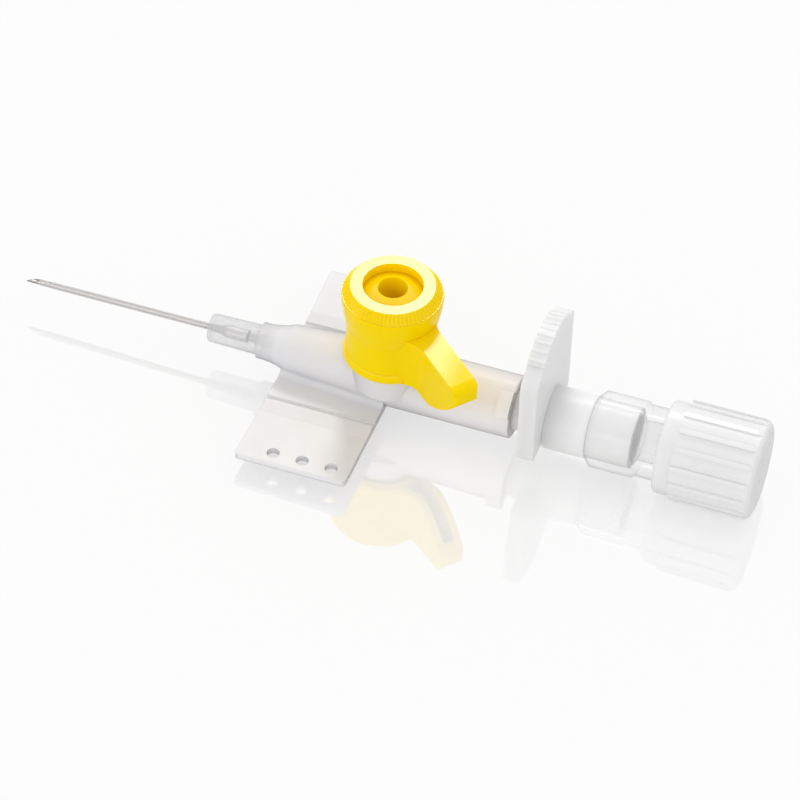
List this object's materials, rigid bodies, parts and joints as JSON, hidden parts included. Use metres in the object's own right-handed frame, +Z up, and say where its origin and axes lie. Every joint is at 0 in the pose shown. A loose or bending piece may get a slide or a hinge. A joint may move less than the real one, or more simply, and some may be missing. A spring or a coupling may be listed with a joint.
{
  "type": "winged iv cannula",
  "caption": "Winged over-the-needle cannula with a capped injection port, a thumb plate, a clear flash chamber and a ribbed screw plug.",
  "frame": {"origin": "on the table, under the middle of the whole length, below the needle's axis", "axes": "+X along the needle's axis from its point to the plug, +Z up through the injection port, +Y to the far wing"},
  "size_m": [0.0732, 0.0268, 0.0163],
  "materials": {
    "steel": "polished",
    "tube_plastic": "translucent",
    "hub_plastic": "milky translucent",
    "silicone": "satin",
    "cap_plastic": "satin",
    "needle_hub_plastic": "milky translucent",
    "chamber_plastic": "clear",
    "plug_plastic": "satin",
    "filter": "porous"
  },
  "bodies": {
    "catheter": {"catheter_hub": "hub_plastic", "catheter_tube": "tube_plastic", "catheter_bush": "steel", "port_valve": "silicone"},
    "cap": {"port_cap": "cap_plastic"},
    "needle_unit": {"needle": "steel", "needle_hub": "needle_hub_plastic", "flash_chamber": "chamber_plastic"},
    "plug": {"luer_plug": "plug_plastic", "vent_filter": "filter"}
  },
  "joints": [
    {"name": "needle_withdraw", "type": "slide", "parent": "catheter", "child": "needle_unit", "axis": [1, 0, 0], "range_m": [0, 0.055]},
    {"name": "plug_off", "type": "slide", "parent": "needle_unit", "child": "plug", "axis": [1, 0, 0], "range_m": [0, 0.012]},
    {"name": "cap_lift", "type": "slide", "parent": "catheter", "child": "cap", "axis": [0, 0, 1], "range_m": [0, 0.02]}
  ]
}
